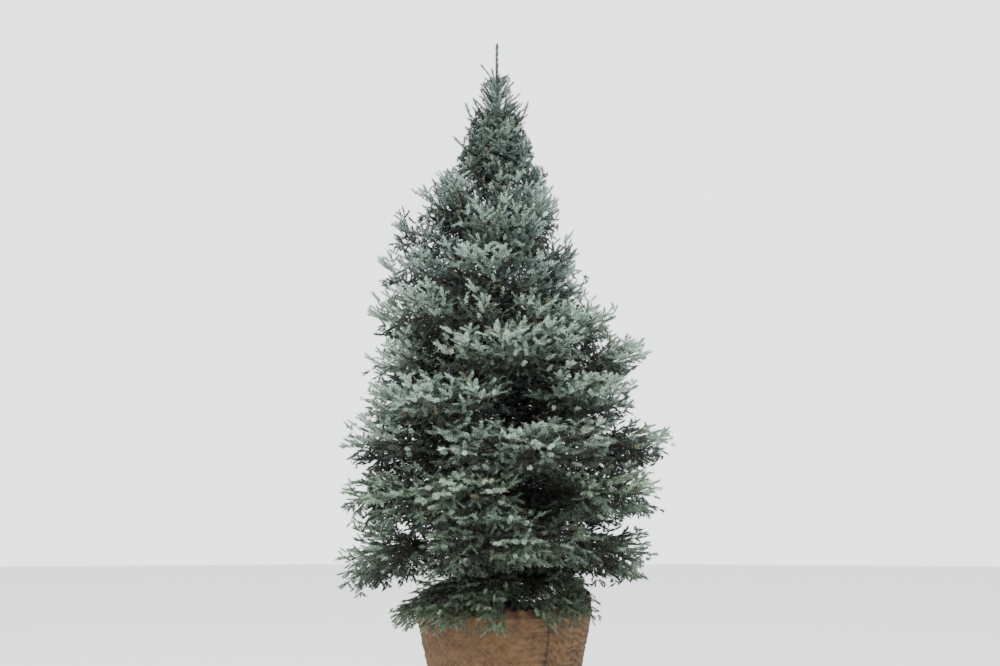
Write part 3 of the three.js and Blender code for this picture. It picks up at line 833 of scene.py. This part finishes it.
def makeTwigs(tier, wood):  # closed tapering prisms, the slimmest of them pyramids
    blocks, faces, used = [], [], 0
    start, end, foot, tip, kind = columnsOf(wood)
    start, end = start / 1000, end / 1000
    side, top = crossAxes(unit(end - start))
    for sides in (3, 5):
        pick = kind == sides
        n = int(pick.sum())
        if n == 0:
            continue
        angles = (np.arange(sides) * 2 * math.pi / sides)[None, :, None]
        ring = side[pick][:, None] * np.cos(angles) + top[pick][:, None] * np.sin(angles)
        low = start[pick][:, None] + ring * (foot[pick] / 1000)[:, None, None]
        if sides == 3:
            high = end[pick][:, None]
            own = [[0, 1, 3], [1, 2, 3], [2, 0, 3], [2, 1, 0]]
        else:
            high = end[pick][:, None] + ring * (tip[pick] / 1000)[:, None, None]
            own = [[0, 2, 1], [0, 3, 2], [0, 4, 3], [5, 6, 7], [5, 7, 8], [5, 8, 9]]
            for i in range(5):
                j = (i + 1) % 5
                own += [[i, j, 5 + j], [i, 5 + j, 5 + i]]
        each = low.shape[1] + high.shape[1]
        blocks.append(np.concatenate([low, high], axis=1).reshape(-1, 3))
        faces.append((used + np.arange(n)[:, None, None] * each + np.array(own)[None]).reshape(-1, 3))
        used += n * each
    return putTogether(f"twigs_{tier['index'] + 1}", np.concatenate(blocks), np.concatenate(faces))


def newMaterial(name, colour, roughness, **inputs):
    material = bpy.data.materials.new(name)
    material.use_nodes = True
    material.diffuse_color = (*colour, 1)
    inputs.update({"Base Color": (*colour, 1), "Roughness": roughness})
    for key, value in inputs.items():
        shaderOf(material).inputs[key].default_value = value
    return material


def shaderOf(material):
    return material.node_tree.nodes["Principled BSDF"]


def addNode(material, kind, **values):  # its inputs and properties by their names
    node = material.node_tree.nodes.new("ShaderNode" + kind)
    for key, value in values.items():
        if key in node.inputs:
            node.inputs[key].default_value = value
        else:
            setattr(node, key, value)
    return node


def addRamp(material, *stops):  # each one's place and colour
    ramp = addNode(material, "ValToRGB")
    for element, (place, colour) in zip(ramp.color_ramp.elements, stops):
        element.position = place
        element.color = (*colour, 1)
    return ramp


def link(material, *links):  # from a node's output to a node's input
    for source, output, target, socket in links:
        material.node_tree.links.new(source.outputs[output], target.inputs[socket])


def needleMaterialsOf(prefix, tint):
    materials = []
    for toneName, colour in tones.items():
        tinted = [channel * share for channel, share in zip(colour, tint)]
        material = newMaterial(prefix + toneName.capitalize(), tinted, 0.62, **{"Specular IOR Level": 0.35})
        materials.append(material)
    return materials


def makeBark():
    material = newMaterial("scalyBark", (0.1, 0.075, 0.06), 0.92)
    shader = shaderOf(material)
    place = addNode(material, "TexCoord")
    stretch = addNode(material, "Mapping", Scale=(1, 1, 0.55))
    scales = addNode(material, "TexVoronoi", feature="F1", Scale=62)
    speckle = addNode(material, "TexNoise", Scale=34, Detail=6)
    ramp = addRamp(material, (0.3, (0.02, 0.016, 0.012)), (0.72, (0.075, 0.06, 0.045)))
    add = addNode(material, "Math", operation="ADD")
    bump = addNode(material, "Bump", Strength=0.7, Distance=0.004)
    link(
        material,
        (place, "Object", stretch, "Vector"),
        (stretch, "Vector", scales, "Vector"),
        (stretch, "Vector", speckle, "Vector"),
        (speckle, "Fac", ramp, "Fac"),
        (ramp, "Color", shader, "Base Color"),
        (scales, "Distance", add, 0),
        (speckle, "Fac", add, 1),
        (add, "Value", bump, "Height"),
        (bump, "Normal", shader, "Normal"),
    )
    return material


needleMaterials = {name: needleMaterialsOf(name, tint) for name, tint in tints.items()}
barkMaterial = makeBark()


def finishPiece(piece, slotName, materials, *nodes):
    for material in materials:
        piece.data.materials.append(material)
    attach(piece, "root")
    if nodes:
        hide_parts(*nodes)


def nodesOf(kind, tier):
    return [f"{kind}_{tier['index'] + 1}_{name}" for name in sectorNames[tier["sectors"]]]


needleTotal, twigTotal = 0, 0
for tier in tiers:
    grown = growTier(tier)
    needles = makeNeedles(tier, grown.brush)
    finishPiece(needles, "needles", needleMaterials[tier["tint"]], *nodesOf("foliage", tier))
    twigs = makeTwigs(tier, grown.wood)
    finishPiece(twigs, "bark", [barkMaterial])
    needleFaces, twigFaces = len(needles.data.polygons), len(twigs.data.polygons)
    needleTotal += needleFaces
    twigTotal += twigFaces
    print("tier", tier["index"] + 1, "shoots and twigs", len(grown.brush), "needle faces", needleFaces)
print("foliage done:", needleTotal, "needle faces and", twigTotal, "twig faces")


def deselectAll():
    if bpy.context.object and bpy.context.object.mode == "EDIT":
        bpy.ops.object.mode_set(mode="OBJECT")
    bpy.ops.object.select_all(action="DESELECT")


def selectOnly(piece):
    deselectAll()
    piece.select_set(True)
    bpy.context.view_layer.objects.active = piece


def startRing(name, vertices, radius, place, turned=(0, 0, 0)):
    deselectAll()
    bpy.ops.mesh.primitive_circle_add(
        vertices=vertices, radius=radius, fill_type="NGON", location=place, rotation=turned
    )
    piece = bpy.context.object
    piece.name = name
    piece.data.name = name
    bpy.ops.object.mode_set(mode="EDIT")
    bpy.ops.mesh.select_mode(type="FACE")
    bpy.ops.mesh.select_all(action="SELECT")
    return piece


def pullRing(move, scale):  # extrudes the open end and resizes it
    bpy.ops.mesh.extrude_region_move(TRANSFORM_OT_translate={"value": move})
    bpy.ops.transform.resize(value=(scale, scale, scale))


def settle():  # ends edit mode: normals out, place into the mesh, smooth
    bpy.ops.mesh.select_all(action="SELECT")
    bpy.ops.mesh.normals_make_consistent(inside=False)
    bpy.ops.object.mode_set(mode="OBJECT")
    bpy.ops.object.transform_apply(location=True, rotation=True, scale=True)
    bpy.ops.object.shade_smooth()


def useModifier(piece, kind, **values):
    modifier = piece.modifiers.new(kind, kind)
    for key, value in values.items():
        setattr(modifier, key, value)
    selectOnly(piece)
    bpy.ops.object.modifier_apply(modifier=modifier.name)


barkRelief = {"scaleSize": 0.028, "scaleDepth": 0.006, "lumpSize": 0.16, "lumpDepth": 0.008}
scaleTexture = bpy.data.textures.new("barkScales", "VORONOI")
scaleTexture.noise_scale = barkRelief["scaleSize"]
lumpTexture = bpy.data.textures.new("barkLumps", "CLOUDS")
lumpTexture.noise_scale = barkRelief["lumpSize"]


def roughen(piece, share):
    lumps, scales = barkRelief["lumpDepth"] * share, barkRelief["scaleDepth"] * share
    useModifier(piece, "DISPLACE", texture=lumpTexture, strength=lumps, mid_level=0.5)
    useModifier(piece, "DISPLACE", texture=scaleTexture, strength=scales, mid_level=0.4)


def refine(piece):
    useModifier(piece, "SUBSURF", levels=1, render_levels=1, subdivision_type="SIMPLE")


def makeTrunk():
    heights = [0, 30, 70, 120, 180, 260, *range(320, trunk["leader"], 60), 4680, 4760, 4860, 4960, 5080]
    middle = trunkAxis(0) / 1000
    middle.z += trunk["seat"] / 1000
    piece = startRing("trunkBark", 22, trunkRadius(0) / 1000, middle)
    for low, high in zip(heights, heights[1:]):
        step = (trunkAxis(high) - trunkAxis(low)) / 1000
        pullRing(step, trunkRadius(high) / trunkRadius(low))
    settle()
    refine(piece)
    foot = min(vertex.co.z for vertex in piece.data.vertices)
    roughen(piece, 1)
    for vertex in piece.data.vertices:  # the slim top keeps its own thickness, the foot its flat cut
        vertex.co.z = max(vertex.co.z, foot)
        height = vertex.co.z * 1000 - ball["soilHeight"]
        if height > 3600:
            onTrunk = min(height, trunk["height"])
            axis = trunkAxis(onTrunk) / 1000
            away = Vector((vertex.co.x - axis.x, vertex.co.y - axis.y, 0))
            most = trunkRadius(onTrunk) / 1000 * 1.12
            if away.length > most:
                away *= most / away.length
                vertex.co.x, vertex.co.y = axis.x + away.x, axis.y + away.y
    finishPiece(piece, "bark", [barkMaterial], "trunk")


def makeBough(tier, sector):
    bearing = sectorBearing(tier, sector)
    line = [point / 1000 for point in boughLine(tier, bearing, 12)]
    radii = [lerp(limbs["boughFoot"], limbs["boughTip"], i / 12) / 1000 for i in range(13)]
    name = nodesOf("bough", tier)[sector]
    piece = startRing(name + "_bark", 10, radii[0], line[0], (math.radians(90), 0, math.radians(bearing)))
    for i in range(12):
        pullRing(line[i + 1] - line[i], radii[i + 1] / radii[i])
    settle()
    refine(piece)
    roughen(piece, 0.55)
    finishPiece(piece, "bark", [barkMaterial], name)


makeTrunk()
for tier in tiers:
    if tier["limbShare"] > 0:
        for sector in range(tier["sectors"]):
            makeBough(tier, sector)
print("bark done")

burlap = {
    "columns": 420,
    "rowStep": 10,
    "collarUp": (0.02, 0.2, 0.4, 0.6, 0.8, 0.93),  # rings up the collar's outside, of its height
    "collarDown": (0.8, 0.6, 0.42, 0.27, 0.15, 0.06),  # and down its inside
    "wires": 64,  # in each direction round the ball
    "cell": 60,  # height of a diamond
    "wireRadius": 1.3,
    "dent": 3.5,  # how deep a wire sinks in
    "foldDepth": 14,
    "bunchBearing": 64,  # where the folds are deepest
    "bunchWidth": 40,
    "mound": 72,  # of the gathered cloth inside the rim
    "seamBearing": 29,
    "seamDepth": 6,
}


def foldsAt(bearing, height):  # how far the cloth stands out at a place on the wall: broadly, and finely
    angle = math.radians(bearing)
    metres = height / 1000
    side = bearingVector(bearing) * 0.7
    bunched = math.exp(-(turnFrom(burlap["bunchBearing"], bearing) / burlap["bunchWidth"]) ** 2)
    swirl = noiseAt(side.x * 3, side.y * 3, metres * 2.2)
    fine = noiseAt(side.x * 9 + swirl * 2, side.y * 9 - swirl, metres * 16 + 3)
    slanted = math.sin(angle * 30 + metres * 130 + swirl * 15 + 3.5 * fine)
    small = noiseAt(side.x * 26, side.y * 26, metres * 34)
    depth = burlap["foldDepth"]
    seam = turnFrom(burlap["seamBearing"], bearing) * 11  # millimetres beside the seam
    seam += 8 * noiseAt(7, 3, metres * 9)
    lap = burlap["seamDepth"] * (math.exp(-((seam - 6) / 9) ** 2) - 0.9 * math.exp(-((seam + 9) / 7) ** 2))
    wavy = (0.12 + 0.42 * bunched) * slanted
    return depth * 0.55 * swirl, depth * (0.5 * fine + 0.4 * small + wavy) + lap


def wallRadius(bearing, height):  # millimetres, of the cloth without the wires' dents
    angle = math.radians(bearing)
    side = math.sin(math.pi * min(height, ball["soilHeight"]) / ball["soilHeight"])
    lump = side * (math.sin(3 * angle + 1) + math.sin(7 * angle + height / 160)) * 0.5 * ball["lumpDepth"]
    calm = min(1, height / 90)
    return ballRadius(height) + lump + sum(foldsAt(bearing, height)) * calm


def dentAt(bearing, height):
    turns = (bearing % 360) / 360 * burlap["wires"]
    depth = 0
    for hand in (-1, 1):
        off = (turns + hand * height / burlap["cell"]) % 1
        off = min(off, 1 - off) * 2 * math.pi * ballRadius(height) / burlap["wires"]
        depth = max(depth, math.exp(-((off / 9) ** 2)))
    return depth * burlap["dent"]


def placeAt(bearing, radius, height):  # in metres, from millimetres
    angle = math.radians(bearing)
    return Vector((math.sin(angle) * radius, -math.cos(angle) * radius, height)) / 1000


def shellPoint(bearing, height, risen, proud=0):  # a point of the outer wall, or of the collar above it
    soil = ball["soilHeight"]
    radius = wallRadius(bearing, min(height, soil)) - dentAt(bearing, height) * min(1, height / 60) + proud
    wavy = 9 * noiseAt(bearing / 14, 5, 1) + 4 * noiseAt(bearing / 4, 2, 8)
    return placeAt(bearing, radius, min(height, soil) + risen * (collarHeight(bearing) + wavy - 5))


def gatheredPoint(bearing, radius, risen):  # a point of the cloth inside the collar
    rim, soil = ball["rimRadius"], ball["soilHeight"]
    folded = noiseAt(radius / 90, bearing / 9, 1) + 0.5 * noiseAt(radius / 30, bearing / 4, 4)
    pleat = math.sin(math.radians(bearing) * 34 + 3 * noiseAt(radius / 160, bearing / 20, 9))
    inner = clamp((rim - 10 - radius) / 80) * clamp((radius - 150) / 220)
    raised = burlap["mound"] + 20 * folded + 9 * pleat * radius / 600
    tall = soil + risen * collarHeight(bearing) + inner * raised
    radius += (wallRadius(bearing, soil) - rim) * clamp((radius - 500) / 200)
    return placeAt(bearing, radius, tall)


def makeCloth():
    material = newMaterial("wovenJute", (0.4, 0.27, 0.17), 0.95)
    shader = shaderOf(material)
    place = addNode(material, "UVMap", uv_map="cloth")
    room = addNode(material, "TexCoord")
    stains = addNode(material, "TexNoise", Scale=9, Detail=8, Roughness=0.65)
    ramp = addRamp(material, (0.25, (0.062, 0.03, 0.0105)), (0.72, (0.168, 0.086, 0.03)))
    threads = addNode(material, "Math", operation="MULTIPLY")
    weave = {"wave_type": "BANDS", "Scale": 55, "Distortion": 1.5, "Detail": 2}
    for number, direction in enumerate(("X", "Y")):
        band = addNode(material, "TexWave", bands_direction=direction, **weave)
        link(material, (place, "UV", band, "Vector"), (band, "Fac", threads, number))
    darken = addNode(material, "Mix", data_type="RGBA", blend_type="MULTIPLY", Factor=0.8)
    shade = addNode(material, "MapRange", **{"To Min": 0.55})
    hollow = addNode(material, "Attribute", attribute_name="hollow")
    # painted shade and light: by the hollow attribute the cloth is darker in its folds' hollows and lighter
    # on their crests
    foldShade = addNode(material, "MapRange", **{"To Min": 1.3, "To Max": 0.5})
    fold = addNode(material, "Mix", data_type="RGBA", blend_type="MULTIPLY", Factor=1)
    creases = addNode(material, "TexNoise", Scale=26, Detail=5, Distortion=1.2)
    coarse = addNode(material, "Bump", Strength=0.6, Distance=0.02)
    bump = addNode(material, "Bump", Strength=0.5, Distance=0.0015)
    link(
        material,
        (room, "Object", stains, "Vector"),
        (stains, "Fac", ramp, "Fac"),
        (threads, "Value", shade, "Value"),
        (ramp, "Color", darken, "A"),
        (shade, "Result", darken, "B"),
        (hollow, "Fac", foldShade, "Value"),
        (darken, "Result", fold, "A"),
        (foldShade, "Result", fold, "B"),
        (fold, "Result", shader, "Base Color"),
        (room, "Object", creases, "Vector"),
        (creases, "Fac", coarse, "Height"),
        (coarse, "Normal", bump, "Normal"),
        (threads, "Value", bump, "Height"),
        (bump, "Normal", shader, "Normal"),
    )
    return material


def makeSoil():
    material = newMaterial("darkSoil", (0.05, 0.035, 0.025), 1.0)
    shader = shaderOf(material)
    room = addNode(material, "TexCoord")
    crumbs = addNode(material, "TexNoise", Scale=45, Detail=9)
    ramp = addRamp(material, (0.35, (0.018, 0.012, 0.008)), (0.7, (0.09, 0.06, 0.04)))
    bump = addNode(material, "Bump", Strength=0.9, Distance=0.012)
    link(
        material,
        (room, "Object", crumbs, "Vector"),
        (crumbs, "Fac", ramp, "Fac"),
        (ramp, "Color", shader, "Base Color"),
        (crumbs, "Fac", bump, "Height"),
        (bump, "Normal", shader, "Normal"),
    )
    return material


def burlapProfile():  # the rings from foot to middle: radius, height, and the share of the collar's height
    foot, rim, soil = ball["footRadius"], ball["rimRadius"], ball["soilHeight"]
    rings = [(foot - 40, 0, 0), (foot - 22, 4, 0), (foot - 8, 18, 0), (foot, 45, 0)]
    rings += [(ballRadius(height), height, 0) for height in range(60, soil, burlap["rowStep"])]
    rings += [(rim + 0.01 * i, soil + 0.1 * i, share) for i, share in enumerate(burlap["collarUp"])]
    rings += [(rim - 4, soil + 1, 1), (rim - 12, soil + 1.1, 1.02), (rim - 20, soil + 1.2, 0.97)]
    rings += [(rim - 28 - 9 * i, soil + 1.3 + 0.1 * i, share) for i, share in enumerate(burlap["collarDown"])]
    return rings + [(radius, soil + 2, 0) for radius in range(rim - 98, 130, -16)] + [(60, soil + 2, 0)]


def makeBurlap():
    soil = ball["soilHeight"]
    profile = burlapProfile()
    piece = startRing("burlap", burlap["columns"], profile[0][0] / 1000, (0, 0, 0))
    for low, high in zip(profile, profile[1:]):
        pullRing((0, 0, (high[1] - low[1]) / 1000), high[0] / low[0])
    settle()
    layer = piece.data.uv_layers.new(name="cloth")
    hollow = piece.data.attributes.new("hollow", "FLOAT", "POINT")
    cloth = []
    for vertex in piece.data.vertices:
        radius, height, risen = profile[vertex.index // burlap["columns"]]
        bearing = bearingOf(vertex.co.x, vertex.co.y)
        along = height + ball["rimRadius"] - radius if height > soil else height
        cloth.append((math.radians(bearing) * 0.6, along / 1000))
        # how far a place lies in a fold's hollow, for the painted fold shade
        hollow.data[vertex.index].value = clamp(0.5 - foldsAt(bearing, min(height, soil))[1] / 19)
        if height > soil + 0.6:
            vertex.co = gatheredPoint(bearing, radius, risen)
        elif height >= 1:
            vertex.co = shellPoint(bearing, height, risen)
    for polygon in piece.data.polygons:
        rows = [cloth[index] for index in polygon.vertices]
        wraps = max(row[0] for row in rows) - min(row[0] for row in rows) > 1
        for loop, row in zip(polygon.loop_indices, rows):
            layer.data[loop].uv = (row[0] + (1.2 * math.pi if wraps and row[0] < 0 else 0), row[1])
        middle = polygon.center
        if middle.z > soil / 1000 - 0.02 and math.hypot(middle.x, middle.y) < ball["soilDisc"] / 1000:
            polygon.material_index = 1
    finishPiece(piece, "burlap", [makeCloth(), makeSoil()], "root_ball")


def makeTubes(name, lines, radius, sides):  # closed tubes along lines of points, in metres
    points, faces = [], []
    for line in lines:
        base, count = len(points), len(line)
        for i, place in enumerate(line):
            along = (line[min(count - 1, i + 1)] - line[max(0, i - 1)]).normalized()
            side = along.cross(Vector((place.x, place.y, 0)).normalized())
            out = side.normalized().cross(along)
            for j in range(sides):
                turn = 2 * math.pi * j / sides
                points.append(place + (side * math.cos(turn) + out * math.sin(turn)) * (radius / 1000))
        for i in range(count - 1):
            for j in range(sides):
                a, b = base + sides * i + j, base + sides * i + (j + 1) % sides
                faces += [(a, b, b + sides), (a, b + sides, a + sides)]
        last = base + sides * (count - 1)
        for j in range(1, sides - 1):
            faces += [(base, base + j + 1, base + j), (last, last + j, last + j + 1)]
    piece = putTogether(name, np.array(points), np.array(faces))
    selectOnly(piece)
    bpy.ops.object.mode_set(mode="EDIT")
    settle()
    return piece


def makeWires():
    soil, cell, wires = ball["soilHeight"], burlap["cell"], burlap["wires"]
    stops = [(14 + (soil - 14) * i / 62, 0) for i in range(63)]
    stops += [(soil, share) for share in (0.3, 0.6, 0.88, 1.0)]
    lines = []
    for hand in (-1, 1):
        for index in range(wires):
            line = []
            atRim = 360 * (index - hand * soil / cell) / wires
            for height, risen in stops:
                run = height + risen * collarHeight(atRim)
                bearing = (index - hand * run / cell) / wires * 360
                over = 0.9 * hand * math.cos(2 * math.pi * run / cell + math.pi * index)
                line.append(shellPoint(bearing, height, risen, burlap["wireRadius"] + over + 0.4))
            lines.append(line)
    piece = makeTubes("wireMesh", lines, burlap["wireRadius"], 3)
    finishPiece(piece, "burlap", [newMaterial("dullWire", (0.18, 0.125, 0.075), 0.6, Metallic=0.4)])


# The dark wire that closes the seam, and the clips on the mesh, by bearing and height
lacing = {"points": 160, "radius": 2.6, "twist": 17, "proud": 4}
clips = [(-10.5, 680), (19, 812), (30.5, 826), (28, 670), (27.5, 585)]
darkWire = newMaterial("darkWire", (0.06, 0.055, 0.05), 0.45, Metallic=0.8)


def makeLacing():
    lines = []
    for strand in (0, 1):
        line = []
        for i in range(lacing["points"]):
            height = 20 + (ball["soilHeight"] + 6 - 20) * i / (lacing["points"] - 1)
            twist = height / lacing["twist"] + math.pi * strand
            sway = 0.55 * math.sin(twist) + 0.9 * noiseAt(height / 60, strand, 2)
            proud = lacing["proud"] + 2 * math.cos(twist)
            line.append(shellPoint(burlap["seamBearing"] + sway * 0.6, height, 0, proud))
        lines.append(line)
    finishPiece(makeTubes("seamLacing", lines, lacing["radius"], 6), "burlap", [darkWire])


def makeClips():
    deselectAll()
    rings = []
    for bearing, height in clips:
        bpy.ops.mesh.primitive_torus_add(
            location=shellPoint(bearing, height, 0, 5),
            rotation=(math.radians(90 - 8), 0, math.radians(bearing)),
            major_segments=16,
            minor_segments=6,
            major_radius=0.012,
            minor_radius=0.0026,
        )
        rings.append(bpy.context.object)
    for ring in rings:
        ring.select_set(True)
    bpy.context.view_layer.objects.active = rings[0]
    bpy.ops.object.join()
    piece = bpy.context.object
    piece.name = "meshClips"
    bpy.ops.object.transform_apply(location=True, rotation=True, scale=True)
    bpy.ops.object.shade_smooth()
    finishPiece(piece, "burlap", [darkWire])


makeBurlap()
makeWires()
makeLacing()
makeClips()
print("root ball done")

camera = bpy.data.objects.new("camera", bpy.data.cameras.new("camera"))
camera.data.lens = 35
camera.data.sensor_width = 36
camera.location = (-0.034, -8.2, 1.46)
camera.rotation_euler = (math.radians(90 + 12.3), 0, 0)
camera.data.clip_end = 300
bpy.context.scene.collection.objects.link(camera)
bpy.context.scene.camera = camera

deselectAll()
bpy.ops.mesh.primitive_circle_add(vertices=96, radius=70, fill_type="NGON", location=(0, 0, -0.001))
floor = bpy.context.object
floor.name = "floor"
floor.data.materials.append(newMaterial("paleFloor", (0.66, 0.66, 0.645), 0.95))

world = bpy.data.worlds.new("overcast")
bpy.context.scene.world = world
world.use_nodes = True
world.node_tree.nodes["Background"].inputs["Color"].default_value = (0.9, 0.92, 0.95, 1)
world.node_tree.nodes["Background"].inputs["Strength"].default_value = 2.9


def addLight(name, place, aim, size, power, colour):
    light = bpy.data.objects.new(name, bpy.data.lights.new(name, "AREA"))
    light.data.shape = "DISK"
    light.data.size = size
    light.data.energy = power
    light.data.color = colour
    light.location = place
    light.rotation_euler = (Vector(aim) - Vector(place)).to_track_quat("-Z", "Y").to_euler()
    bpy.context.scene.collection.objects.link(light)


addLight("skyPanel", (-3, -7, 13), (0, 0, 3), 9, 2600, (1, 0.99, 0.97))
addLight("sidePanel", (9, -6, 6), (0, 0, 2.5), 6, 260, (0.95, 0.97, 1))
